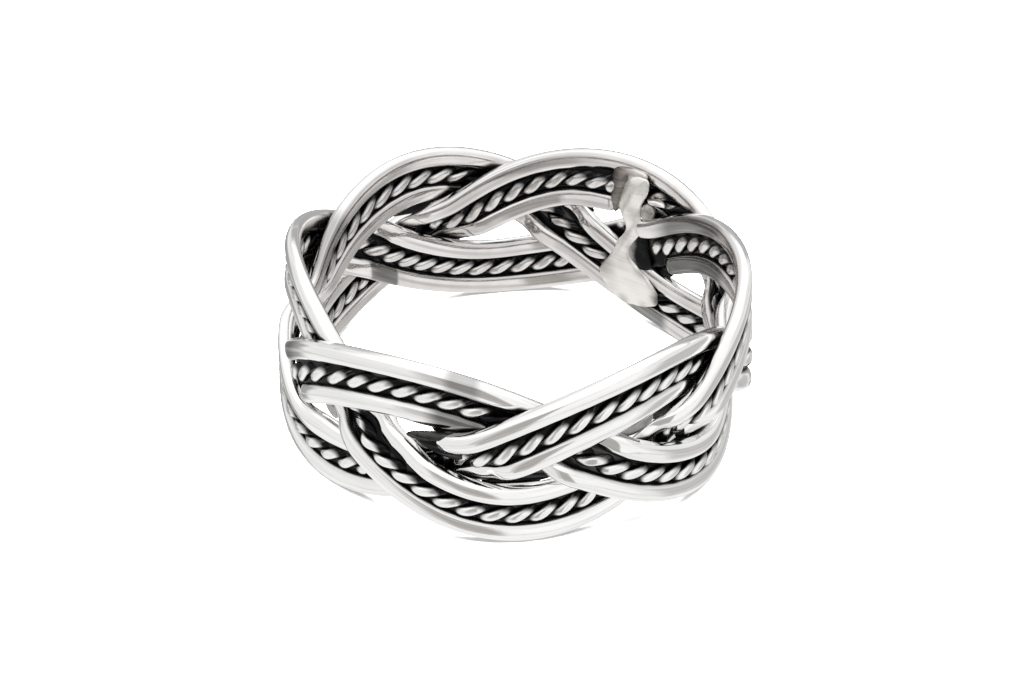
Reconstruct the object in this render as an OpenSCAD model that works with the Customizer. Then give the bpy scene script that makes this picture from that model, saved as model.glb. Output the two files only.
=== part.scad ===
// Braided band ring: a flat plait of three strands bent into a ring, lying on its side.
// Each strand is three wires side by side: plain, twisted, plain. One solder joint closes it.
// Millimetres. The axis is Z, the floor is z = 0, and angle 0 is the front (-Y), growing towards +X.

/* [Ring] */
// Inside diameter, where the finger goes
inner_d = 17.3; // [15:0.1:22]
// Height of the plaited band
band_w = 8; // [7.4:0.1:9.4]

/* [Wires] */
// Width of a plain wire, across its strand
wire_w = 0.86; // [0.7:0.01:0.96]
// Thickness of a plain wire, through the band
wire_t = 0.68; // [0.5:0.01:0.85]
// Width of the twisted wire, across its strand
rope_w = 0.86; // [0.7:0.01:0.96]
// Thickness of the twisted wire, through the band
rope_t = 0.7; // [0.5:0.01:0.85]
// Width of one ply of the twisted wire
ply_w = 0.46; // [0.36:0.01:0.56]
// Turns of twist in each strand's twisted wire
twists = 31; // [24:1:36]

/* [Gaps] */
// Clear gap between the wires of a strand
wire_gap = 0.06; // [0.04:0.01:0.1]
// Clear gap where two strands cross
cross_gap = 0.08; // [0.06:0.01:0.12]
// Clear gap between the solder joint and the wires behind it
solder_gap = 0.08; // [0.06:0.01:0.12]

/* [Solder joint] */
// Angle of the joint round the ring
solder_at = 146; // [144:0.5:148]
// Width of the patch at the foot of the joint
patch_w = 2.5; // [1.8:0.1:3]
// Thickness of the patch
patch_t = 0.2; // [0.14:0.01:0.4]

/* [Hidden] */

silver = [0.86, 0.86, 0.84];
rope_silver = [0.72, 0.72, 0.7];
solder_cream = [0.85, 0.81, 0.74];

A = 0;
B = 1;
C = 2;
UPPER = 1;
TWISTED = 0;
LOWER = -1;

// where each strand turns back at an edge: angle, and height as a share past the plain turn
// columns: angle, share. rows: top, bottom, top, bottom, once round the ring
turns = [
    [[-29, 0], [64, 0], [153, 0.01], [249, 0]],
    [[36, -0.02], [123, 0], [213, -0.03], [303, 0]],
    [[94, 0.06], [183, 0], [272, 0.1], [364, 0]]];
legs = len(turns[A]);

straight = 0.24;     // how straight a strand runs from edge to edge
linger = 0.172;      // how long it stays near an edge, in radians of the ring
lead = 0.37;         // how far the outer wires dive before or after the middle one, per pitch
soft_turn = 0.4;     // how gently a strand goes from outside to inside as it turns at an edge
turn_lead = 0.3;     // how much sooner the inner wire of that bend does so
soft_dive = 0.07;    // how gently it goes from inside to outside between the edges
full = 0.81;         // least share of the swing that any crossing has

pitch = (wire_w + rope_w) / 2 + wire_gap;
reach = band_w / 2 - pitch - wire_w / 2;
thick = max(wire_t, rope_t);
swing = (thick + cross_gap) / 2 / full;
mid_r = inner_d / 2 + swing + thick / 2;

wire_rings = 68;     // along a plain wire
twist_rings = 8;     // along one turn of twist
marks = 96;          // measuring points along a strand
shoulder = 0.45;     // of the ply, where its side starts to round
flat = 0.5;          // of a plain wire's width, left flat by the mandrel and the hammer
edge = 0.45;         // of its thickness, left flat at the sides

// the solder joint's sections from the foot up, on the inside of the band. columns: height as a share of
// the band, shift in degrees, half width as a share of the patch's, depth from the finger's side to the
// strands' middle way, thickness as a share of the patch's
solder_rows = [
    [0.115, -3.2, 0.4, 0, 0.8],
    [0.15, -3.5, 0.75, 0, 1],
    [0.21, -3, 1.08, 0, 1],
    [0.28, -0.7, 1.08, 0, 1],
    [0.34, 1, 0.85, 0, 1],
    [0.41, 1.5, 0.45, 0, 1.1],
    [0.47, 0.8, 0.3, 0, 1.2],
    [0.53, -0.3, 0.27, 0.12, 1.3],
    [0.6, -0.8, 0.3, 0.25, 1.4],
    [0.67, 0.2, 0.4, 0.4, 1.5],
    [0.75, 0, 0.5, 0.95, 1.6],
    [0.83, -1, 0.58, 1, 1.6],
    [0.89, -1, 0.62, 1, 1.6],
    [0.955, -0.5, 0.62, 1, 1.2]];
solder_outline = [[1, 0.4], [0.7, 1], [-0.7, 1], [-1, 0.4], [-1, -0.4], [-0.7, -1], [0.7, -1], [1, -0.4]];

function ease(x, soft) = x * sqrt(1 + soft * soft) / sqrt(x * x + soft * soft);
function turn(s, k) = turns[s][k % legs] + [360 * floor(k / legs), 0];
function way(k) = k % 2 == 0 ? 1 : -1;

// a point of a wire: strand, place across the strand, and t counting the legs from edge to edge
function spot(s, wire, t) =
    let (k = floor(t), u = (t - k) * 180, from = turn(s, k), to = turn(s, k + 1),
        high = way(k) * reach * (1 + from[1]), low = -way(k) * reach * (1 + to[1]),
        z = (high + low) / 2 + (high - low) / 2 * (cos(u) + straight * cos(3 * u)) / (1 + straight),
        fall = -(high - low) / 2 * PI * (sin(u) + 3 * straight * sin(3 * u)) / (1 + straight),
        angle = from[0] + (to[0] - from[0]) * u / 180 + linger * 180 / PI * sin(2 * u),
        on = mid_r * ((to[0] - from[0]) * PI / 180 + linger * 2 * PI * cos(2 * u)),
        long = norm([on, fall]),
        r = mid_r - swing * ease(way(k) * sin(u), soft_turn * (1 + turn_lead * wire * way(k) * cos(u)))
            * ease((z + wire * pitch * lead) / reach, soft_dive),
        a = angle - wire * pitch * fall / long / mid_r * 180 / PI)
    [r * sin(a), -r * cos(a), band_w / 2 + z + wire * pitch * on / long];

// two directions square to the wire: across the strand, and out from the ring's axis
function frame(s, wire, t) =
    let (p = spot(s, wire, t), next = spot(s, wire, t + 0.004), last = spot(s, wire, t - 0.004 + legs),
        along = (next - last) / norm(next - last), out = [p[0], p[1], 0] / norm([p[0], p[1]]),
        thru = out - (out * along) * along)
    [cross(thru, along) / norm(thru), thru / norm(thru)];

function placed(s, wire, t, outline) =
    let (p = spot(s, wire, t), f = frame(s, wire, t)) [for (q = outline) p + q[0] * f[0] + q[1] * f[1]];

wire_outline = [for (side = [[1, edge], [flat, 1], [-flat, 1], [-1, edge],
        [-1, -edge], [-flat, -1], [flat, -1], [1, -edge]]) [side[0] * wire_w / 2, side[1] * wire_t / 2]];
ply_outline = [for (side = [[1, 0], [shoulder, 1], [-shoulder, 1], [-1, 0], [-shoulder, -1], [shoulder, -1]])
    [side[0] * rope_w / 2, side[1] * ply_w / 2]];
function twisted(angle) = [for (q = ply_outline)
    [q[0] * cos(angle) - q[1] * sin(angle), (q[0] * sin(angle) + q[1] * cos(angle)) * rope_t / rope_w]];

// a closed loop of rings of points, as one solid
module loop(rings) {
    n = len(rings);
    m = len(rings[0]);
    polyhedron(points = [for (ring = rings, p = ring) p],
        faces = [for (i = [0:n - 1], j = [0:m - 1]) let (a = i * m, b = (i + 1) % n * m, k = (j + 1) % m)
            each [[a + j, b + j, b + k], [a + j, b + k, a + k]]]);
}

module plain_wire(s, wire) {
    color(silver) loop([for (i = [0:wire_rings - 1]) placed(s, wire, legs * i / wire_rings, wire_outline)]);
}

module twisted_wire(s) {
    line = [for (i = [0:marks]) spot(s, TWISTED, legs * i / marks)];
    run = [for (i = 0, sum = 0; i <= marks; sum = sum + norm(line[min(i + 1, marks)] - line[i]), i = i + 1) sum];
    rings = twists * twist_rings;
    at = [for (i = [0:marks]) [run[i], legs * i / marks]];
    color(rope_silver) loop([for (i = [0:rings - 1])
        placed(s, TWISTED, lookup(run[marks] * i / rings, at), twisted(360 * i / twist_rings))]);
}

module solder() {
    n = len(solder_rows);
    m = len(solder_outline);
    rings = [for (row = solder_rows) let (t = patch_t * row[4],
            back = inner_d / 2 - solder_gap + swing * row[3])
        [for (q = solder_outline) let (r = back - t / 2 + q[1] * t / 2,
                a = solder_at + row[1] + q[0] * patch_w / 2 * row[2] / back * 180 / PI)
            [r * sin(a), -r * cos(a), band_w * row[0]]]];
    color(solder_cream) polyhedron(points = [for (ring = rings, p = ring) p],
        faces = [each [for (i = [0:n - 2], j = [0:m - 1]) let (a = i * m, b = (i + 1) * m, k = (j + 1) % m)
                each [[a + j, b + k, b + j], [a + j, a + k, b + k]]],
            [for (j = [m - 1:-1:0]) j], [for (j = [0:m - 1]) (n - 1) * m + j]]);
}

plain_wire(A, UPPER);  // strand_a_upper_wire
twisted_wire(A);  // strand_a_twisted_wire
plain_wire(A, LOWER);  // strand_a_lower_wire
plain_wire(B, UPPER);  // strand_b_upper_wire
twisted_wire(B);  // strand_b_twisted_wire
plain_wire(B, LOWER);  // strand_b_lower_wire
plain_wire(C, UPPER);  // strand_c_upper_wire
twisted_wire(C);  // strand_c_twisted_wire
plain_wire(C, LOWER);  // strand_c_lower_wire
solder();  // solder_joint
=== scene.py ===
# Braided band ring in polished and blackened silver, lying on its side on a pale table.
import math

import bpy
import numpy as np
from mathutils import Matrix, Vector


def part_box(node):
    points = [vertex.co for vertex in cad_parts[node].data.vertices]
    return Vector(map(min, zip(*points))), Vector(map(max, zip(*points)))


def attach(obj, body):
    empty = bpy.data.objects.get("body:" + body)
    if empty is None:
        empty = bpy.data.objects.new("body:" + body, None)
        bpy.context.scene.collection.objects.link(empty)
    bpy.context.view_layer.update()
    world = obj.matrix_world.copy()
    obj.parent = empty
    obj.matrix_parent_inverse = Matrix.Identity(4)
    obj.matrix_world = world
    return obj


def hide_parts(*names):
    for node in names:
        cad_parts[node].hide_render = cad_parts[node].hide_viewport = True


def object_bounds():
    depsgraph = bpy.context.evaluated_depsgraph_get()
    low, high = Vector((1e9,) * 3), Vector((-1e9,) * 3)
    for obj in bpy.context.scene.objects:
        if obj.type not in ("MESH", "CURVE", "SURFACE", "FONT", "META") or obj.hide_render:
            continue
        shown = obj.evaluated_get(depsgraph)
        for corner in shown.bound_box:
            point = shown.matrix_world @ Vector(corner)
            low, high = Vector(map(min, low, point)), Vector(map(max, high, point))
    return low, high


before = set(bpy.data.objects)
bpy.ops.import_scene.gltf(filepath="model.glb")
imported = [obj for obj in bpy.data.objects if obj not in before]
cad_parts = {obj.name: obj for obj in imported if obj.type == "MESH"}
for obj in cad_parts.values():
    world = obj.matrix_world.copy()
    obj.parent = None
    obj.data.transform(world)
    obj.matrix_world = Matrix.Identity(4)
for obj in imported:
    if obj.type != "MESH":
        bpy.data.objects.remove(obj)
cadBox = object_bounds()
mm = 0.001  # shapes are worked out in millimetres and put into their meshes in metres

# The plait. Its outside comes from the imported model, its inside is the finger's circle.
band = {
    "insideRadius": 8.65,
    "outsideRadius": (cadBox[1].x - cadBox[0].x) / 2 / mm,
    "height": 8.0,
    "straight": 0.24,     # how straight a strand runs from edge to edge
    "linger": 0.172,      # how long it stays near an edge, in radians of the ring
    "lead": 0.33,         # how far the outer wires dive before or after the middle one
    "softTurn": 0.42,     # how gently a strand changes sides as it turns at an edge
    "turnLead": 0.2,      # how much sooner the inner wire of that bend does so
    "softDive": 0.11,     # how gently it goes over or under halfway between the edges
    "pressed": 0.03,      # how far the strands are squeezed against mandrel and hammer
    "mandrelSoft": 0.03,  # how soft the edges of what the mandrel and the hammer flattened are
    "hammerSoft": 0.05,
    "measuringSteps": 6001,
}
lowerBox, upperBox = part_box("strand_b_lower_wire"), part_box("strand_b_upper_wire")
band["pitch"] = (upperBox[0].z - lowerBox[0].z) / 2 / mm  # from one wire of a strand to the next

# where each strand turns at an edge: degrees round the ring, and height past the plain turn as a share
edgeTurns = {
    "a": np.array([[-29, 0], [64, 0], [153, 0.01], [249, 0]]),
    "b": np.array([[36, -0.02], [123, 0], [213, -0.03], [303, 0]]),
    "c": np.array([[94, 0.06], [183, 0], [272, 0.1], [364, 0]]),
}
lanes = {"upper": 1, "twisted": 0, "lower": -1}

# where a wire was pushed off the plain plait. columns: angle, half width in degrees, shift outward and
# shift upward in millimetres, widening as a share
nudges = {
    ("a", -1): [(337, 13, 0, -0.1, 0.12)],
    ("b", 1): [(303, 11, 0, 0.12, 0.3)],
    ("c", 1): [(331, 10, -0.3, 0, 0)],
}

plainWire = {
    "width": 0.88,
    "thickness": 0.72,
    "roundness": (2.3, 2.9),  # away from the finger and on its side. 2 is an ellipse, more is squarer
    "unevenness": 0.012,      # how far drawing and hammering left facets along the wire, as a share
    "wallSoot": 1.6,          # depth of soot towards the twisted wire, per millimetre down from the edge
    "wallFrom": 0.05,         # where across the wire that starts, and over how much it grows, in widths
    "wallSoft": 0.25,
    "perimeter": 2.6,         # in widths
    "rings": 700,
    "sides": 40,
}
# which part of a wire's thickness faces the finger: how far under the middle, and how softly it starts
fingerSide = {"below": 0.42, "soft": 0.24}

twistedWire = {
    "width": 0.88,
    "thickness": 0.76,
    "plyWidth": 0.47,
    "plyPerimeter": 3.1,  # in the ply's widths
    "plySides": 26,
    "ringsPerTurn": 48,
    "flat": 0.35,         # height over the middle where the polishing flattened it
    "flatSoft": 0.015,
    "tail": 0.1,          # darkening on the upper end of each crest, in millimetres of depth
    "tailFrom": -0.1,     # where across the wire that starts, and over how much it grows, in half widths
    "tailSoft": 0.9,
    "tailShare": 0.5,     # how much less the polishing's depth counts there
    # turns along each strand, and where its first crest lies, in crests
    "turns": {"a": 31, "b": 30, "c": 33},
    "start": {"a": 0.1, "b": 0.75, "c": 0.07},
    # how far the crests wander: share of the strand, crests
    "wander": {
        "a": [[-0.5, 0], [-0.107, -0.77], [-0.068, -0.3], [-0.045, 0], [0, 0.1], [0.05, -0.1], [0.13, 0],
              [0.22, -0.25], [0.5, 0]],
        "b": [[-0.5, 0.1], [-0.3, 0.35], [-0.22, 0.3], [-0.14, -0.15], [-0.09, 0], [0.5, 0.1]],
        "c": [[-0.5, 0.1], [-0.38, 0], [-0.22, 0.06], [0, 0.2], [0.26, 0.5], [0.36, 0.38], [0.5, 0.1]],
    },
}

# the strips of solder inside a strand, which reach part of the way from its middle wire to the others
seam = {"reach": 0.66, "halfThickness": 0.06, "rings": 480, "sides": 16}

# strand a was cut here, and its cut ends stand proud of the solder towards the finger
cutEnd = {"angle": 152.6, "proud": {1: 0, 0: 0.46, -1: 0.46}, "fade": 16.0}


def smoothStep(x):
    x = np.clip(x, 0, 1)
    return x * x * (3 - 2 * x)


def softStep(x, soft):
    # x over the root of x squared plus soft squared, scaled so that it is 1 at x = 1
    return x * np.sqrt(1 + soft * soft) / np.sqrt(x * x + soft * soft)


def softLimit(x, limit, soft):
    # x below the limit, bending over into the limit within about soft
    return limit - soft * np.logaddexp(0, (limit - x) / soft)


def nearness(angle, place, half):
    # 1 at a place round the ring, falling softly to 0 at half a width away from it
    return 1 - smoothStep(np.abs((angle - place + 180) % 360 - 180) / half)


def braidPath(strand, lane, t):
    # t counts legs from edge to edge. Height is a cosine with some of its third harmonic; the angle runs
    # evenly with a sine that lingers at the edges; the radius swings by the product of two soft steps,
    # one that changes side at an edge and one that changes side halfway. Returns x, y, z in millimetres.
    thickness = plainWire["thickness"]
    inside, outside = band["insideRadius"], band["outsideRadius"]
    midRadius = (inside + outside) / 2
    swing = (outside - inside - thickness) / 2 + band["pressed"]
    reach = band["height"] / 2 - band["pitch"] - plainWire["width"] / 2
    table = edgeTurns[strand]
    leg = np.floor(t).astype(int)
    u = (t - leg) * np.pi
    fromAngle = table[leg % 4, 0] + 360 * (leg // 4)
    toAngle = table[(leg + 1) % 4, 0] + 360 * ((leg + 1) // 4)
    side = np.where(leg % 2 == 0, 1.0, -1.0)
    startHeight = side * reach * (1 + table[leg % 4, 1])
    endHeight = -side * reach * (1 + table[(leg + 1) % 4, 1])
    straight, linger = band["straight"], band["linger"]
    half = (startHeight - endHeight) / 2
    height = (startHeight + endHeight) / 2 + half * (np.cos(u) + straight * np.cos(3 * u)) / (1 + straight)
    fall = -half * np.pi * (np.sin(u) + 3 * straight * np.sin(3 * u)) / (1 + straight)
    angle = np.radians(fromAngle + (toAngle - fromAngle) * u / np.pi) + linger * np.sin(2 * u)
    onward = midRadius * (np.radians(toAngle - fromAngle) + 2 * np.pi * linger * np.cos(2 * u))
    length = np.hypot(onward, fall)
    turnSoft = band["softTurn"] * (1 + band["turnLead"] * lane * side * np.cos(u))
    dive = (height + lane * band["pitch"] * band["lead"]) / reach
    radius = midRadius - swing * softStep(side * np.sin(u), turnSoft) * softStep(dive, band["softDive"])
    angle = angle - lane * band["pitch"] * fall / length / midRadius
    height = height + lane * band["pitch"] * onward / length + band["height"] / 2
    for place, half, outShift, upShift, _ in nudges.get((strand, lane), []):
        near = nearness(np.degrees(angle), place, half)
        radius, height = radius + outShift * near, height + upShift * near
    if strand == "a":
        past = (np.degrees(angle) - cutEnd["angle"]) % 360
        radius = radius - cutEnd["proud"][lane] * (1 - smoothStep(past / cutEnd["fade"]))
    return np.stack([radius * np.sin(angle), -radius * np.cos(angle), height], -1)


def closedLine(strand, lane, count):
    # points at even distances along the whole loop, found by looking up t at even steps of its length
    t = np.linspace(0, 4, band["measuringSteps"])
    fine = braidPath(strand, lane, t)
    run = np.concatenate([[0], np.cumsum(np.linalg.norm(np.diff(fine, axis=0), axis=1))])
    share = np.arange(count) / count
    return braidPath(strand, lane, np.interp(share * run[-1], run, t)), share, run[-1]


def outward(points):
    # unit directions straight away from the ring's axis
    flat = points * [1, 1, 0]
    return flat / np.linalg.norm(flat, axis=-1, keepdims=True)


def unit(vectors):
    return vectors / np.linalg.norm(vectors, axis=-1, keepdims=True)


def lineFrame(line):
    # along the line, across it on the ring's surface, and square to both
    along = unit(np.roll(line, -1, axis=0) - np.roll(line, 1, axis=0))
    across = unit(np.cross(outward(line), along))
    return along, across, np.cross(along, across)


def polished(points):
    # the radius is softly limited at both ends: the mandrel flattens what would reach inside the finger's
    # circle, and the hammer what would reach outside the band
    radius = np.hypot(points[..., 0], points[..., 1])
    worn = softLimit(radius, band["outsideRadius"], band["hammerSoft"])
    worn = -softLimit(-worn, -band["insideRadius"], band["mandrelSoft"])
    return points * np.stack([worn / radius, worn / radius, np.ones_like(radius)], -1)


def innerSide(rise):
    # 1 where the surface faces the finger, 0 elsewhere, from its rise over the middle in thicknesses
    return 1 - smoothStep((rise + fingerSide["below"]) / fingerSide["soft"])


def plainWireSurface(strand, lane, rings, sides):
    # a rounded flat oval (superellipse) carried along the wire's line
    line, share, length = closedLine(strand, lane, rings)
    _, across, thru = lineFrame(line)
    v = np.arange(sides) / sides * 2 * np.pi
    outerRound, innerRound = plainWire["roundness"]
    power = 2 / np.where(np.sin(v) > 0, outerRound, innerRound)
    x = plainWire["width"] / 2 * np.sign(np.cos(v)) * np.abs(np.cos(v)) ** power
    y = plainWire["thickness"] / 2 * np.sign(np.sin(v)) * np.abs(np.sin(v)) ** power
    # facets: a few ripples round the section that turn slowly along the wire
    start = 1.7 * lane + sum(map(ord, strand))
    turn = 2 * np.pi * share[:, None]
    ripple = (np.cos(3 * v + start + 2 * np.sin(2 * turn + start))
              + np.cos(5 * v - start + np.cos(3 * turn))
              + 0.6 * np.cos(2 * v + np.sin(5 * turn - start))
              + 0.3 * np.cos(9 * v + 2 * np.sin(4 * turn + start)))
    swell = (1 + plainWire["unevenness"] * ripple)[..., None]
    angle = np.degrees(np.arctan2(line[:, 0], -line[:, 1]))
    wide = np.ones_like(share)
    for place, half, _, _, more in nudges.get((strand, lane), []):
        wide = wide + more * nearness(angle, place, half)
    sideways = (wide[:, None] * x)[..., None] * across[:, None]
    points = line[:, None] + swell * (sideways + y[None, :, None] * thru[:, None])
    inner = np.broadcast_to(innerSide(y / plainWire["thickness"]), points.shape[:2])
    # the side towards the twisted wire is the wall of a groove
    wall = smoothStep((-lane * x / plainWire["width"] - plainWire["wallFrom"]) / plainWire["wallSoft"])
    depth = plainWire["wallSoot"] * wall * (plainWire["thickness"] / 2 - np.abs(y))
    depth = np.broadcast_to(depth, points.shape[:2])
    return polished(points), inner, depth, share, length


def twistedWireSurface(strand, ply, ringsPerTurn, sides):
    # a round ply wound round the strand's middle line, squeezed flat, its crests polished flat
    turns = twistedWire["turns"][strand]
    line, share, length = closedLine(strand, 0, turns * ringsPerTurn)
    _, across, thru = lineFrame(line)
    wander = np.array(twistedWire["wander"][strand])
    place = (share + 0.5) % 1 - 0.5
    crests = 2 * turns * place - twistedWire["start"][strand] - np.interp(place, wander[:, 0], wander[:, 1])
    angle = -np.pi * (crests + ply) + np.pi / 2
    off = (twistedWire["width"] - twistedWire["plyWidth"]) / 2
    x, y = off * np.cos(angle), off * np.sin(angle)
    core = line + x[:, None] * across + y[:, None] * thru
    plyAlong = unit(np.roll(core, -1, axis=0) - np.roll(core, 1, axis=0))
    spoke = np.cos(angle)[:, None] * across + np.sin(angle)[:, None] * thru
    plyAcross = unit(np.cross(spoke, plyAlong))
    plyUp = np.cross(plyAlong, plyAcross)
    v = np.arange(sides) / sides * 2 * np.pi
    radius = twistedWire["plyWidth"] / 2
    points = core[:, None] + radius * (np.cos(v)[None, :, None] * plyAcross[:, None]
                                       + np.sin(v)[None, :, None] * plyUp[:, None])
    rise = ((points - line[:, None]) * thru[:, None]).sum(-1)
    squeezed = rise * twistedWire["thickness"] / twistedWire["width"]
    flat, soft = twistedWire["flat"], twistedWire["flatSoft"]
    squeezed = -softLimit(-softLimit(squeezed, flat, soft), flat, soft)
    aside = ((points - line[:, None]) * across[:, None]).sum(-1) / twistedWire["width"] * 2
    points = points + (squeezed - rise)[..., None] * thru[:, None]
    upper = smoothStep((aside - twistedWire["tailFrom"]) / twistedWire["tailSoft"])
    depth = (flat - np.abs(squeezed)) * (1 - twistedWire["tailShare"] * upper) + twistedWire["tail"] * upper
    return polished(points), innerSide(squeezed / twistedWire["thickness"]), depth, share, length


# How deep each point lies under what a soft polishing wheel reaches. The ring is unrolled on a grid of
# angle and height; closing the grid with a parabola as blunt as the wheel gives the reached surface.
wheel = {
    "radius": 0.15,
    "sharpness": 24.0,
    "anglePixels": 1920,
    "heightPixels": 360,
    "margin": 1.4,        # of the grid, past the band's edges
    "outsideShare": 0.45,  # how much of the depth counts on the outside, and towards the finger
    "insideShare": 0.85,
    # rings and sides of the shapes that are read into the grid
    "plainGrid": (3200, 96),
    "plyGrid": (110, 56),
    "barGrid": (400, 300),
}


def unrolled(points):
    # columns by angle, rows by height, and the radius
    angle = np.arctan2(points[..., 0], -points[..., 1]) / (2 * np.pi) % 1
    span = band["height"] + 2 * wheel["margin"]
    height = (points[..., 2] + wheel["margin"]) / span
    radius = np.hypot(points[..., 0], points[..., 1])
    return angle * wheel["anglePixels"], height * wheel["heightPixels"], radius


def blurred(grid):
    # a bell curve along the angle, then along the height
    spread = math.sqrt(wheel["radius"] / wheel["sharpness"])
    arc = np.pi * (band["insideRadius"] + band["outsideRadius"]) / grid.shape[0]
    for axis, step in ((0, arc), (1, (band["height"] + 2 * wheel["margin"]) / grid.shape[1])):
        far = math.ceil(6 * spread / step)
        weights = {k: math.exp(-0.5 * (k * step / spread) ** 2) for k in range(-far, far + 1)}
        grid = sum(weight * np.roll(grid, k, axis) for k, weight in weights.items()) / sum(weights.values())
    return grid


def closedGrid(grid):
    # a soft maximum over the neighbourhood, then a soft minimum over it
    sharp, middle = wheel["sharpness"], (band["insideRadius"] + band["outsideRadius"]) / 2
    spreadOut = np.log(blurred(np.exp(sharp * (grid - middle)))) / sharp
    return -np.log(blurred(np.exp(-sharp * spreadOut))) / sharp + middle


def seamSurface(strand, rings, sides):
    # a thin flat oval from wire to wire: the solder that joins the twisted wire to its two neighbours
    share = np.arange(rings) / rings
    line, above, below = [braidPath(strand, lane, 4 * share) for lane in (0, 1, -1)]
    _, _, thru = lineFrame(line)
    v = np.arange(sides) / sides * 2 * np.pi
    x, y = seam["reach"] * np.cos(v)[None, :, None], seam["halfThickness"] * np.sin(v)[None, :, None]
    span = np.where(x > 0, (above - line)[:, None], (below - line)[:, None])
    points = line[:, None] + np.abs(x) * span + y * thru[:, None]
    inner, depth = np.zeros(points.shape[:2]), np.ones(points.shape[:2])
    return points, inner, depth, share, closedLine(strand, 0, 1)[2]


# small webs of solder where two strands cross, their darkness partly soot and partly painted shade over the
# gaps between strands. columns: angle, height and radius of the middle; half length, half height and half
# thickness in millimetres; slant in degrees; soot and painted shade in millimetres of depth
webs = {
    "a": [(343.5, 5.0, 9.35, 0.75, 0.28, 0.12, -8, 0.45), (304.5, 3.5, 9.3, 0.55, 0.3, 0.12, -30, 0.13)],
    "b": [(211.5, 5.15, 9.4, 1.6, 0.3, 0.12, 6, 0.3), (162.3, 4.75, 9.45, 0.6, 0.26, 0.1, 0, 0.2),
          (4.6, 3.25, 9.4, 2.1, 0.42, 0.1, 12, 0.45), (1.5, 2.87, 9.55, 1.4, 0.06, 0.07, 5, 0),
          (341, 4.35, 9.6, 1.2, 0.35, 0.1, -18, 0.45)],
    "c": [(134.4, 3.0, 9.3, 0.55, 0.28, 0.1, -20, 0.45), (338.9, 4.82, 9.7, 1.0, 0.24, 0.14, 11, 0.17),
          (32, 4.8, 9.4, 0.9, 0.42, 0.12, 8, 0.135), (44, 4.92, 9.35, 1.3, 0.34, 0.1, 0, 0.22),
          (53, 2.95, 9.35, 1.2, 0.38, 0.1, -19, 0.35)],
}
webGrid = (20, 20)  # rows and sides


def webSurface(web, rows, sides):
    # a flat egg, turned on the ring's surface by its slant and bent round the ring
    angle, height, radius, length, tall, thick, slant, sootAndShade = web
    u = (np.arange(rows) + 0.5) / rows * np.pi
    v = np.arange(sides) / sides * 2 * np.pi
    x = -length * np.cos(u)[:, None] * np.ones(sides)
    y, z = tall * np.sin(u)[:, None] * np.cos(v), thick * np.sin(u)[:, None] * np.sin(v)
    lean = math.radians(slant)
    turn = math.radians(angle) + (x * math.cos(lean) - y * math.sin(lean)) / radius
    up = height + x * math.sin(lean) + y * math.cos(lean)
    return np.stack([(radius + z) * np.sin(turn), -(radius + z) * np.cos(turn), up], -1), sootAndShade


def reachedSurfaces():
    # from outside, from the finger's side, and from above and below at each angle
    outer = np.full((wheel["anglePixels"], wheel["heightPixels"]), band["insideRadius"])
    inner = np.full_like(outer, band["outsideRadius"])
    top, bottom = np.zeros(wheel["anglePixels"]), np.full(wheel["anglePixels"], band["height"])
    for strand in edgeTurns:
        shapes = [plainWireSurface(strand, lane, *wheel["plainGrid"])[0] for lane in (1, -1)]
        shapes += [twistedWireSurface(strand, ply, *wheel["plyGrid"])[0] for ply in (0, 1)]
        if strand == "a":
            shapes.append(lumpSurface("bar", *wheel["barGrid"])[0])
        for points in shapes:
            column, row, radius = unrolled(points.reshape(-1, 3))
            cell = (column.astype(int) % wheel["anglePixels"], row.astype(int))
            np.maximum.at(outer, cell, radius)
            np.minimum.at(inner, cell, radius)
            np.maximum.at(top, cell[0], points[..., 2].ravel())
            np.minimum.at(bottom, cell[0], points[..., 2].ravel())
    middle = band["insideRadius"] + band["outsideRadius"]
    return closedGrid(outer), middle - closedGrid(middle - inner), top, bottom


def sampled(grid, column, row):
    # the grid between its pixels' middles, wrapped round the ring
    column, row = column - 0.5, np.clip(row - 0.5, 0, grid.shape[1] - 1.001)
    i, j = np.floor(column).astype(int), row.astype(int)
    a, b = column - i, row - j
    i, k = i % grid.shape[0], (i + 1) % grid.shape[0]
    return ((1 - a) * (1 - b) * grid[i, j] + a * (1 - b) * grid[k, j]
            + (1 - a) * b * grid[i, j + 1] + a * b * grid[k, j + 1])


def recessDepth(points, inner, reached):
    # how far a point lies under what was reached from outside, from inside or from the rims, whichever is
    # least, times a share: the outside was polished deeper than the finger's side
    column, row, radius = unrolled(points)
    outerReach, innerReach, top, bottom = reached
    under, over = sampled(outerReach, column, row) - radius, radius - sampled(innerReach, column, row)
    depth = np.minimum(under, over)
    place, pixels = column % wheel["anglePixels"], np.arange(wheel["anglePixels"])
    height = points[..., 2]
    rim = np.minimum(np.interp(place, pixels, top) - height, height - np.interp(place, pixels, bottom))
    return np.minimum(depth, rim) * (wheel["outsideShare"] * (1 - inner) + wheel["insideShare"] * inner)


def addMesh(name, points, faces):
    mesh = bpy.data.meshes.new(name)
    mesh.from_pydata((points * mm).tolist(), [], faces)
    mesh.polygons.foreach_set("use_smooth", np.ones(len(mesh.polygons), bool))
    mesh.update()
    piece = bpy.data.objects.new(name, mesh)
    bpy.context.scene.collection.objects.link(piece)
    return piece


def loopFaces(rings, sides, first=0):
    # squares of a surface that closes both ways
    i, j = np.meshgrid(np.arange(rings), np.arange(sides), indexing="ij")
    nextI, nextJ = (i + 1) % rings, (j + 1) % sides
    corners = [i * sides + j, i * sides + nextJ, nextI * sides + nextJ, nextI * sides + j]
    return np.stack(corners, -1).reshape(-1, 4) + first


def setAttribute(piece, name, kind, values):
    made = piece.data.attributes.new(name, kind, "POINT")
    numbers = np.ascontiguousarray(values, np.float32).ravel()
    made.data.foreach_set("value" if kind == "FLOAT" else "vector", numbers)


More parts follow.
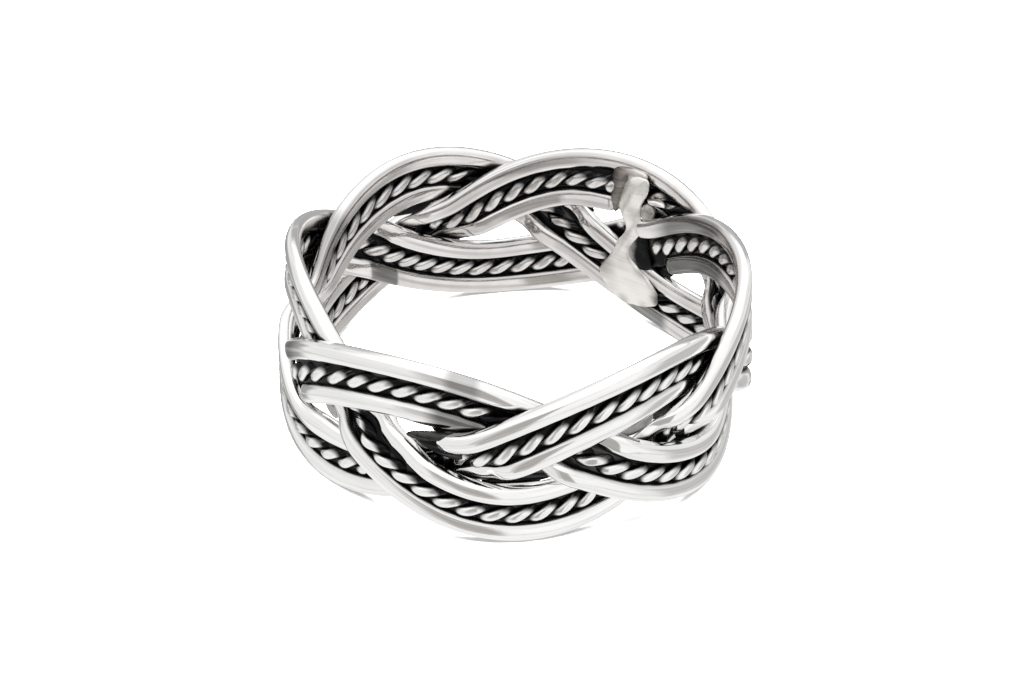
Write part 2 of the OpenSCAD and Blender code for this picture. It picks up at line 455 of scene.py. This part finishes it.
def grainCoordinates(share, length, sides, perimeter):
    # along the wire as a circle of the wire's own length, so that it closes, and round the wire
    turn = 2 * np.pi * share
    size = length / (2 * np.pi)
    v = np.arange(sides) / sides * perimeter
    grid = np.empty((len(share), sides, 3))
    grid[..., 0] = (size * np.cos(turn))[:, None]
    grid[..., 1] = (size * np.sin(turn))[:, None]
    grid[..., 2] = v[None, :]
    return grid


def dressPiece(piece, material, nodeName):
    piece.data.materials.append(material)
    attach(piece, "root")
    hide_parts(nodeName)


# patches darkened on a plain wire's face: painted shade on the noses where strand a's wires come out from
# under a crossing, a painted shadow below the solder on strand b, painted dark reflections on strand c's
# finger side, and a few darker patches of tone. columns: middle angle, half width, softness, strength, face
paintedShadePatches = {
    ("a", "upper"): [(275, 20, 9, 1, "outer"), (347, 4, 3, 0.5, "outer")],
    ("a", "lower"): [(278, 19.5, 6, 0.95, "outer"), (346, 7, 5, 0.85, "outer")],
    ("b", "upper"): [(249, 9, 7, 0.75, "inner"), (249, 9, 7, 0.6, "outer")],
    ("b", "lower"): [(138, 6.5, 4, 0.85, "inner")],
    ("c", "upper"): [(119, 15, 9, 0.85, "inner")],
    ("c", "lower"): [(223, 5, 1, 0.9, "inner"), (116, 16, 6, 1, "inner")],
}


def paintedShadeOn(strand, lane, points, inner):
    # the listed painted shade, painted reflection and darker tone, on the face that each patch names
    angle = np.degrees(np.arctan2(points[..., 0], -points[..., 1]))
    sootAndShade = np.zeros(angle.shape)
    for middle, half, soft, strength, face in paintedShadePatches.get((strand, lane), []):
        away = np.abs((angle - middle + 180) % 360 - 180)
        facing = inner if face == "inner" else 1 - inner
        sootAndShade = np.maximum(sootAndShade, strength * facing * smoothStep((half + soft / 2 - away) / soft))
    return sootAndShade


def makePlainWire(strand, lane, reached, material):
    rings, sides = plainWire["rings"], plainWire["sides"]
    points, inner, depth, share, length = plainWireSurface(strand, lanes[lane], rings, sides)
    piece = addMesh(f"plain_{strand}_{lane}", points.reshape(-1, 3), loopFaces(rings, sides).tolist())
    setAttribute(piece, "recess", "FLOAT", np.maximum(depth, recessDepth(points, inner, reached)))
    setAttribute(piece, "inner", "FLOAT", inner)
    # the painted shade patches, kept in the same attribute as the solder's brown stain
    setAttribute(piece, "stainAndShade", "FLOAT", paintedShadeOn(strand, lane, points, inner))
    grain = grainCoordinates(share, length, sides, plainWire["perimeter"] * plainWire["width"])
    setAttribute(piece, "grain", "FLOAT_VECTOR", grain)
    dressPiece(piece, material, f"strand_{strand}_{lane}_wire")


def tubeFaces(rings, sides, first=0):
    # squares of a surface that closes round, with a cap at each end
    faces = loopFaces(rings, sides)[:(rings - 1) * sides].tolist()
    faces += [list(range(sides))[::-1], list(range((rings - 1) * sides, rings * sides))]
    return [[corner + first for corner in face] for face in faces]


def makeTwistedWire(strand, reached, material):
    sides = twistedWire["plySides"]
    parts = [twistedWireSurface(strand, ply, twistedWire["ringsPerTurn"], sides) for ply in (0, 1)]
    parts.append(seamSurface(strand, seam["rings"], seam["sides"]))
    perimeter = twistedWire["plyPerimeter"] * twistedWire["plyWidth"]
    grain = [grainCoordinates(*part[3:], part[0].shape[1], perimeter) for part in parts]
    points, inner, depth = [[part[k] for part in parts] for k in (0, 1, 2)]
    # each web brings its soot and painted shade as a depth
    for web in webs[strand]:
        egg, sootAndShade = webSurface(web, *webGrid)
        points.append(egg)
        grain.append(egg)
        inner.append(np.zeros(egg.shape[:2]))
        depth.append(np.full(egg.shape[:2], sootAndShade))
    faces, first = [], 0
    for k, grid in enumerate(points):
        rings, around = grid.shape[:2]
        closed = k < len(parts)
        faces += loopFaces(rings, around, first).tolist() if closed else tubeFaces(rings, around, first)
        first += rings * around
    points, grain = [np.concatenate([grid.reshape(-1, 3) for grid in grids]) for grids in (points, grain)]
    inner, depth = [np.concatenate([grid.ravel() for grid in grids]) for grids in (inner, depth)]
    piece = addMesh(f"twisted_{strand}", points, faces)
    setAttribute(piece, "recess", "FLOAT", np.maximum(depth, recessDepth(points, inner, reached)))
    setAttribute(piece, "inner", "FLOAT", inner)
    setAttribute(piece, "grain", "FLOAT_VECTOR", grain)
    dressPiece(piece, material, f"strand_{strand}_twisted_wire")


# The solder joint, on the finger's side of the band. Each lump is a stack of flat ovals up the band.
solderJoint = {
    "rowsPerLump": 70,
    "sides": 40,
    "roundness": 2.1,
    # how square the ends are
    "blunt": {"bar": 6, "flank": 4, "rimFillet": 2.5, "bead": 2, "lump": 2, "fillet": 4, "web": 3},
    "domeEnd": 0.02,
    "smoothedOver": 9,  # rows
    "waves": 0.02,
    # columns: height, angle of the left edge and of the right edge, radius of the front and of the back
    "bar": np.array([
        [0.92, 147.6, 141.6, 8.64, 8.8], [1.06, 150.0, 138.4, 8.6, 8.85], [1.3, 152.2, 134.6, 8.58, 8.9],
        [1.62, 153.2, 132.8, 8.55, 8.9], [2.0, 154.4, 133.4, 8.55, 8.9], [2.32, 154.8, 134.8, 8.55, 8.9],
        [2.6, 153.8, 137.0, 8.55, 8.9], [2.9, 152.4, 139.4, 8.55, 8.9], [3.1, 151.3, 143.0, 8.53, 8.95],
        [3.4, 150.6, 145.0, 8.58, 9.0], [3.7, 150.2, 144.8, 8.62, 9.05], [4.0, 149.4, 143.9, 8.66, 9.05],
        [4.3, 147.8, 143.2, 8.7, 9.1], [4.6, 146.4, 141.0, 8.73, 9.1], [4.85, 147.2, 141.0, 8.76, 9.15],
        [5.1, 148.2, 141.8, 8.78, 9.15], [5.35, 149.6, 142.6, 8.8, 9.2], [5.6, 150.7, 143.3, 8.82, 9.2],
        [6.1, 150.3, 142.6, 8.85, 9.25], [6.6, 149.8, 141.0, 8.86, 9.28], [6.9, 149.2, 140.6, 8.88, 9.3],
        [7.2, 148.0, 140.4, 8.93, 9.3], [7.42, 146.4, 140.6, 9.0, 9.28]]),
    # the wall of solder over the cut, and what flowed under the rim
    "flank": np.array([
        [5.3, 151.6, 150.4, 8.85, 9.3], [5.8, 152.2, 149.6, 8.76, 9.3], [6.4, 152.5, 149.0, 8.74, 9.3],
        [7.1, 152.7, 147.6, 8.78, 9.3], [7.5, 152.5, 146.6, 8.95, 9.3]]),
    "rimFillet": np.array([
        [6.9, 150.5, 146.0, 9.05, 9.3], [7.15, 151.4, 143.6, 9.03, 9.35], [7.4, 152.2, 141.6, 9.03, 9.4],
        [7.62, 152.2, 141.0, 9.07, 9.4]]),
    "bead": np.array([
        [6.24, 141.2, 137.6, 9.0, 9.35], [6.4, 141.2, 134.8, 8.97, 9.35], [6.56, 138.8, 135.4, 9.0, 9.35]]),
    "lump": np.array([
        [5.2, 142.4, 139.4, 8.95, 9.3], [5.5, 143.2, 138.6, 8.9, 9.35], [5.9, 143.2, 138.0, 8.92, 9.35],
        [6.2, 142.0, 138.8, 9.0, 9.3]]),
    "fillet": np.array([
        [3.0, 141.5, 137.5, 9.0, 9.35], [3.5, 144.0, 133.0, 8.95, 9.4], [4.0, 144.0, 131.0, 8.95, 9.4],
        [4.5, 142.5, 131.5, 9.0, 9.4], [4.8, 141.5, 133.5, 9.1, 9.35]]),
    # a thin piece of solder beside the foot, darkened as painted shade to the foot's right
    "web": np.array([
        [2.9, 143.0, 138.0, 8.72, 8.95], [3.3, 147.0, 136.8, 8.68, 8.95], [3.8, 147.0, 138.0, 8.71, 8.95],
        [4.3, 146.0, 138.8, 8.76, 9.0], [4.8, 143.5, 139.8, 8.84, 9.05]]),
    # soot in millimetres of depth at the right and at the left (on the web it is painted shade), brown
    # stain at the right and at the left, and painted shade along the edges
    "tint": {
        "bar": (0, 0, 0, 0, 0.03),
        "flank": (0.06, 0.12, 0.9, 1, 0.16),
        "rimFillet": (0.03, 0.07, 0.3, 0.9, 0.08),
        "bead": (0, 0, 0.1, 0.1, 0.1),
        "lump": (0.1, 0.04, 0.6, 0.4, 0.15),
        "fillet": (0.34, 0.14, 0.3, 0.9, 0),
        "web": (0.4, 0.06, 0.3, 0.7, 0.4),
    },
    # across a lump, from -1 at its right to 1 at its left: where the left's tint and the edges' painted
    # shade start, and over how much they grow
    "leftFrom": -0.5, "leftSoft": 1.3, "edgeFrom": 0.85, "edgeSoft": 0.15,
    # columns: angle, height, reach in millimetres, soot, stain
    "smudges": [(153.5, 2.6, 1.1, 0.04, 0.6), (150.5, 1.6, 0.7, 0, 0.2), (146.0, 1.05, 0.5, 0.03, 0.45),
                (143.6, 3.9, 0.45, 0.1, 0.5), (133.6, 1.8, 0.65, 0.2, 0.4), (138.5, 1.2, 0.4, 0.08, 0.3),
                (139.8, 2.9, 0.6, 0.04, 0.35), (147.5, 6.4, 0.7, 0, 0.2), (147.0, 3.1, 0.8, 0, 0.14)],
    "smudgeRadius": 8.7,  # of the surface that they lie on
}


def lumpSurface(name, rows, sides):
    # the table is read along its height and smoothed, each row a flat oval (superellipse) of angle and
    # radius that closes like a dome at both ends; a few waves leave it as solder flows
    table = solderJoint[name]
    u = np.linspace(0, 1, rows)
    height = table[0, 0] + (table[-1, 0] - table[0, 0]) * (0.5 - 0.5 * np.cos(np.pi * u))
    columns = [np.interp(height, table[:, 0], table[:, k]) for k in (1, 2, 3, 4)]
    size = solderJoint["smoothedOver"]
    kernel = np.hanning(size) / np.hanning(size).sum()
    padded = [np.pad(column, size // 2, mode="edge") for column in columns]
    left, right, front, back = [np.convolve(column, kernel, "valid") for column in padded]
    dome = np.sqrt(np.clip(1 - np.abs(2 * u - 1) ** solderJoint["blunt"][name], 0, 1))
    dome[[0, -1]] = solderJoint["domeEnd"]
    v = np.arange(sides) / sides * 2 * np.pi
    power = 2 / solderJoint["roundness"]
    x = np.sign(np.cos(v)) * np.abs(np.cos(v)) ** power
    y = np.sign(np.sin(v)) * np.abs(np.sin(v)) ** power
    angle = (left + right)[:, None] / 2 + (left - right)[:, None] / 2 * dome[:, None] * x
    radius = (front + back)[:, None] / 2 - (back - front)[:, None] / 2 * dome[:, None] * y
    waves = (np.sin(1.1 * angle + 2.3 * height[:, None]) + np.sin(0.7 * angle - 4.1 * height[:, None])
             + 0.6 * np.sin(2.3 * angle + 6.5 * height[:, None]))
    radius = radius + solderJoint["waves"] * waves * dome[:, None]
    turn = np.radians(angle)
    tall = np.broadcast_to(height[:, None], angle.shape)
    return np.stack([radius * np.sin(turn), -radius * np.cos(turn), tall], -1), np.tile(x, (rows, 1))


def makeSolder(reached, material):
    rows, sides = solderJoint["rowsPerLump"], solderJoint["sides"]
    tints = solderJoint["tint"]
    lumps = [lumpSurface(name, rows, sides) for name in tints]
    points = np.concatenate([lump[0].reshape(-1, 3) for lump in lumps])
    faces = sum((tubeFaces(rows, sides, k * rows * sides) for k in range(len(lumps))), [])
    piece = addMesh("solder_seam", points, faces)
    # painted shade towards the edges of each lump, and browner towards its left
    aside = np.concatenate([lump[1].ravel() for lump in lumps])
    tint = np.repeat(np.array(list(tints.values())), rows * sides, axis=0)
    sootAndShade, sootAndShadeLeft, stainAndShade, stainLeft, edge = tint.T
    left = smoothStep((aside - solderJoint["leftFrom"]) / solderJoint["leftSoft"])
    nearEdge = smoothStep((np.abs(aside) - solderJoint["edgeFrom"]) / solderJoint["edgeSoft"])
    sootAndShade = np.maximum(sootAndShade + (sootAndShadeLeft - sootAndShade) * left, edge * nearEdge)
    stainAndShade = stainAndShade + (stainLeft - stainAndShade) * left
    # and smudged: each smudge fades evenly from its middle
    angle = np.arctan2(points[:, 0], -points[:, 1])
    for middle, height, reach, black, brown in solderJoint["smudges"]:
        sideways = solderJoint["smudgeRadius"] * (angle - np.radians(middle))
        away = np.hypot(sideways, points[:, 2] - height)
        sootAndShade = np.maximum(sootAndShade, black * smoothStep(1 - away / reach))
        stainAndShade = np.maximum(stainAndShade, brown * smoothStep(1 - away / reach))
    setAttribute(piece, "recess", "FLOAT", np.maximum(sootAndShade, recessDepth(points, 1, reached)))
    setAttribute(piece, "inner", "FLOAT", np.zeros(len(points)))
    setAttribute(piece, "grain", "FLOAT_VECTOR", points)
    setAttribute(piece, "stainAndShade", "FLOAT", stainAndShade)
    dressPiece(piece, material, "solder_joint")


# Finishes. Pairs of numbers called edges are where an S-shaped step starts and where it ends.
plainSilver = {
    "metallic": 1.0,
    "bright": (0.97, 0.965, 0.955, 1),
    "inside": (0.88, 0.86, 0.845, 1),
    "insideDull": (0.72, 0.69, 0.67, 1),
    "insideScale": 420,
    "insideEdges": (0.35, 0.7),
    "lineColour": (0.42, 0.41, 0.4, 1),
    "fineGrain": (0.3, 0.3, 9),
    "broadGrain": (0.09, 0.09, 4.6),
    "lines": 0.1,             # how strongly fine polishing lines show
    "lineEdges": (0.42, 0.62),
    "stripes": (0.12, 0.45),  # how strongly the broad drawing marks show, outside and inside
    "stripeEdges": (0.5, 0.62),
    # dark grey of the plain wires' painted shade patches; the solder's finish gives it a brown stain
    # instead
    "stainAndShade": (0.14, 0.137, 0.134, 1),
    "stainEdges": (0.2, 0.55, 0.75, 1),  # and from what share to what share of the stain
    "black": (0.012, 0.012, 0.013, 1),
    "rubbedBlack": (0.1, 0.098, 0.096, 1),
    "rubbedEdges": (0.48, 0.7),
    "polishedDepth": 0.08,    # millimetres under the wheel's reach where the blackening starts to show
    "blackDepth": 0.5,
    "blotches": 0.06,
    "blotchScale": 2600,
    "roughness": (0.04, 0.1),
    "roughEdges": (0.3, 0.7),
    "insideRoughness": 0.06,
    "blackRoughness": 0.4,
    "bump": 0.12,
    "bumpHeight": 0.00003,
    "pitScale": 5200,
    "pits": 0.3,              # how deep fine pits are beside the polishing lines
}
twistedSilver = dict(plainSilver, polishedDepth=0.07, blackDepth=0.18, blotches=0.03, stripes=(0, 0.1),
                     insideDull=(0.66, 0.63, 0.61, 1), roughness=(0.14, 0.22))
solderSilver = dict(plainSilver, metallic=0.97, bright=(0.94, 0.915, 0.88, 1), stainAndShade=(0.14, 0.115, 0.1, 1),
                    rubbedBlack=(0.02, 0.019, 0.018, 1), stripes=(0, 0), lines=0.12, roughness=(0.34, 0.48),
                    bump=0.35, blotches=0.14, polishedDepth=0.03, blackDepth=0.3)


def addNode(tree, kind, inputs, **settings):
    made = tree.nodes.new(kind)
    for key, value in settings.items():
        setattr(made, key, value)
    for key, value in inputs.items():
        if isinstance(value, bpy.types.NodeSocket):
            tree.links.new(value, made.inputs[key])
        else:
            made.inputs[key].default_value = value
    return made


def calculate(tree, operation, *values):
    return addNode(tree, "ShaderNodeMath", dict(enumerate(values)), operation=operation).outputs[0]


def fade(tree, value, start, end, low=0.0, high=1.0):
    # an S-shaped step between two values
    inputs = {"Value": value, "From Min": start, "From Max": end, "To Min": low, "To Max": high}
    return addNode(tree, "ShaderNodeMapRange", inputs, interpolation_type="SMOOTHSTEP").outputs["Result"]


def mixColours(tree, factor, first, second):
    # a Mix node's colour sockets are its seventh and eighth
    return addNode(tree, "ShaderNodeMix", {0: factor, 6: first, 7: second}, data_type="RGBA").outputs[2]


def noise(tree, place, scale, detail):
    inputs = {"Vector": place, "Scale": scale, "Detail": detail}
    return addNode(tree, "ShaderNodeTexNoise", inputs).outputs["Fac"]


def silverMaterial(name, look):
    material = bpy.data.materials.new(name)
    material.use_nodes = True
    tree = material.node_tree
    surface = tree.nodes["Principled BSDF"]
    surface.inputs["Metallic"].default_value = look["metallic"]
    place = tree.nodes.new("ShaderNodeTexCoord").outputs["Object"]
    recess = addNode(tree, "ShaderNodeAttribute", {}, attribute_name="recess").outputs["Fac"]
    inner = addNode(tree, "ShaderNodeAttribute", {}, attribute_name="inner").outputs["Fac"]
    grain = addNode(tree, "ShaderNodeAttribute", {}, attribute_name="grain").outputs["Vector"]
    stainAndShade = addNode(tree, "ShaderNodeAttribute", {}, attribute_name="stainAndShade").outputs["Fac"]
    # the blackening starts at a blotchy edge under the wheel's reach
    patchy = noise(tree, place, look["blotchScale"], 3)
    blotch = calculate(tree, "MULTIPLY_ADD", patchy, look["blotches"], -look["blotches"] / 2)
    depth = calculate(tree, "ADD", recess, blotch)
    mask = fade(tree, depth, look["polishedDepth"], look["blackDepth"])
    # polishing lines and broader drawing marks run along the wire
    fine = addNode(tree, "ShaderNodeMapping", {"Vector": grain, "Scale": look["fineGrain"]}).outputs[0]
    lines = noise(tree, fine, 1, 4)
    broad = addNode(tree, "ShaderNodeMapping", {"Vector": grain, "Scale": look["broadGrain"]}).outputs[0]
    stripes = fade(tree, noise(tree, broad, 1, 1), *look["stripeEdges"])
    dull = fade(tree, noise(tree, place, look["insideScale"], 4), *look["insideEdges"])
    inside = mixColours(tree, dull, look["inside"], look["insideDull"])
    bright = mixColours(tree, inner, look["bright"], inside)
    # brown stain on the solder, painted shade and painted reflection on the plain wires
    stainAndShadeMask = calculate(tree, "MULTIPLY", stainAndShade, fade(tree, lines, *look["stainEdges"]))
    bright = mixColours(tree, stainAndShadeMask, bright, look["stainAndShade"])
    striped = calculate(tree, "MULTIPLY", stripes, fade(tree, inner, 0, 1, *look["stripes"]))
    bright = mixColours(tree, striped, bright, look["lineColour"])
    thin = fade(tree, lines, *look["lineEdges"], 0, look["lines"])
    lined = mixColours(tree, thin, bright, look["lineColour"])
    rubbed = fade(tree, lines, *look["rubbedEdges"])
    sootAndShade = mixColours(tree, rubbed, look["black"], look["rubbedBlack"])
    colour = mixColours(tree, mask, lined, sootAndShade)
    lineRough = fade(tree, lines, *look["roughEdges"], *look["roughness"])
    insideRough = calculate(tree, "MULTIPLY_ADD", inner, look["insideRoughness"], lineRough)
    mixed = {0: mask, 2: insideRough, 3: look["blackRoughness"]}
    rough = addNode(tree, "ShaderNodeMix", mixed, data_type="FLOAT")
    relief = calculate(tree, "MULTIPLY_ADD", noise(tree, place, look["pitScale"], 2), look["pits"], lines)
    raised = {"Height": relief, "Strength": look["bump"], "Distance": look["bumpHeight"]}
    bump = addNode(tree, "ShaderNodeBump", raised)
    tree.links.new(colour, surface.inputs["Base Color"])
    tree.links.new(rough.outputs[0], surface.inputs["Roughness"])
    tree.links.new(bump.outputs[0], surface.inputs["Normal"])
    return material


# Table, light and camera
studio = {
    "tableSize": 1.2,
    "table": (0.9, 0.9, 0.9, 1),
    "tableRoughness": 0.8,
    # the fill lights the table and isn't mirrored in the silver
    "fillSize": 0.4, "fillHeight": 0.35, "fillWatts": 11,
    "elevation": 33.72, "distance": 147, "lens": 120.04, "shift": (-0.0037, -0.0108), "roll": 1.12,
    "clip": (0.01, 10),
    # the tent's elevation and brightness
    "tent": [(-90, 1.0), (-45, 0.93), (-20, 0.86), (8, 0.88), (18, 0.94), (28, 1.1), (90, 1.16)],
    # cloths and cards round the ring, which the silver mirrors. Azimuth 0 is the camera's side, and azimuth
    # grows to the right. columns: azimuth, elevation, half width, half height, softness, colour
    "cards": [
        (35, 8, 34, 42, 10, (1.0, 1.0, 1.0)),
        (180, 66, 55, 34, 10, (1.2, 1.2, 1.2)),
        (180, -6, 32, 32, 8, (0.45, 0.45, 0.45)),
        (105, 15, 28, 30, 16, (0.86, 0.86, 0.86)),
        (110, -20, 28, 22, 14, (0.55, 0.545, 0.54)),
        (-142, 15, 24, 30, 16, (0.86, 0.86, 0.86)),
        (-142, -25, 20, 20, 12, (0.38, 0.38, 0.38)),
        (-22, -5, 10, 28, 12, (0.6, 0.59, 0.58)),
        (-6, -8, 15, 32, 8, (0.44, 0.425, 0.41)),
        # the seams of the tent, all the way round
        (0, 25, 400, 1.3, 2.5, (0.66, 0.66, 0.66)),
        (0, 12, 400, 0.8, 1.5, (0.7, 0.7, 0.7)),
        (0, -33, 400, 1.2, 2, (0.68, 0.67, 0.66)),
        (0, -58, 400, 1, 2, (0.72, 0.72, 0.72)),
    ],
}


def makeTable():
    half = studio["tableSize"] / 2
    corners = [(-half, -half, 0), (half, -half, 0), (half, half, 0), (-half, half, 0)]
    mesh = bpy.data.meshes.new("table")
    mesh.from_pydata(corners, [], [(0, 1, 2, 3)])
    table = bpy.data.objects.new("table", mesh)
    bpy.context.scene.collection.objects.link(table)
    material = bpy.data.materials.new("pale table")
    material.use_nodes = True
    surface = material.node_tree.nodes["Principled BSDF"]
    surface.inputs["Base Color"].default_value = studio["table"]
    surface.inputs["Roughness"].default_value = studio["tableRoughness"]
    table.data.materials.append(material)
    table.visible_glossy = False


def makeTent():
    world = bpy.data.worlds.new("tent")
    bpy.context.scene.world = world
    world.use_nodes = True
    tree = world.node_tree
    direction = tree.nodes.new("ShaderNodeTexCoord").outputs["Generated"]
    parts = addNode(tree, "ShaderNodeSeparateXYZ", {0: direction}).outputs
    elevation = calculate(tree, "DEGREES", calculate(tree, "ARCSINE", parts["Z"]))
    towardCamera = calculate(tree, "MULTIPLY", parts["Y"], -1)
    azimuth = calculate(tree, "DEGREES", calculate(tree, "ARCTAN2", parts["X"], towardCamera))
    climb = calculate(tree, "MULTIPLY_ADD", elevation, 1 / 180, 0.5)
    ramp = addNode(tree, "ShaderNodeValToRGB", {0: climb})
    stops = ramp.color_ramp.elements
    while len(stops) < len(studio["tent"]):
        stops.new(0.5)
    for stop, (height, brightness) in zip(stops, studio["tent"]):
        stop.position, stop.color = (height + 90) / 180, (brightness,) * 3 + (1,)
    colour = ramp.outputs["Color"]
    for around, up, halfWidth, halfHeight, soft, tone in studio["cards"]:
        turned = calculate(tree, "WRAP", calculate(tree, "SUBTRACT", azimuth, around), 180, -180)
        turned = calculate(tree, "ABSOLUTE", turned)
        sideways = fade(tree, turned, halfWidth + soft / 2, halfWidth - soft / 2)
        raised = calculate(tree, "ABSOLUTE", calculate(tree, "SUBTRACT", elevation, up))
        upright = fade(tree, raised, halfHeight + soft / 2, halfHeight - soft / 2)
        colour = mixColours(tree, calculate(tree, "MULTIPLY", sideways, upright), colour, tone + (1,))
    tree.links.new(colour, tree.nodes["Background"].inputs["Color"])


def makeFill():
    light = bpy.data.lights.new("fill", "AREA")
    light.size, light.energy = studio["fillSize"], studio["fillWatts"]
    fill = bpy.data.objects.new("fill", light)
    fill.location = (0, 0, studio["fillHeight"])
    fill.visible_glossy = False
    bpy.context.scene.collection.objects.link(fill)


def makeCamera():
    camera = bpy.data.objects.new("camera", bpy.data.cameras.new("camera"))
    bpy.context.scene.collection.objects.link(camera)
    rise = math.radians(studio["elevation"])
    back = Vector((0, -math.cos(rise), math.sin(rise)))
    camera.location = Vector((0, 0, band["height"] / 2 * mm)) + back * studio["distance"] * mm
    facing = (-back).to_track_quat("-Z", "Y").to_matrix()
    camera.rotation_euler = (facing @ Matrix.Rotation(math.radians(studio["roll"]), 3, "Z")).to_euler()
    camera.data.lens = studio["lens"]
    camera.data.shift_x, camera.data.shift_y = studio["shift"]
    camera.data.clip_start, camera.data.clip_end = studio["clip"]
    bpy.context.scene.camera = camera
    bpy.context.scene.view_settings.view_transform = "Standard"


makeTable()
makeTent()
makeFill()
makeCamera()
print("stage set")
reached = reachedSurfaces()
print("worked out what the polishing wheel reaches")
plainFinish = silverMaterial("polished plain wire", plainSilver)
twistedFinish = silverMaterial("polished twisted wire", twistedSilver)
solderFinish = silverMaterial("filed solder", solderSilver)
for strand in edgeTurns:
    makePlainWire(strand, "upper", reached, plainFinish)
    makePlainWire(strand, "lower", reached, plainFinish)
    makeTwistedWire(strand, reached, twistedFinish)
    print("made strand", strand)
makeSolder(reached, solderFinish)
print("made the solder joint")
print("ring built")
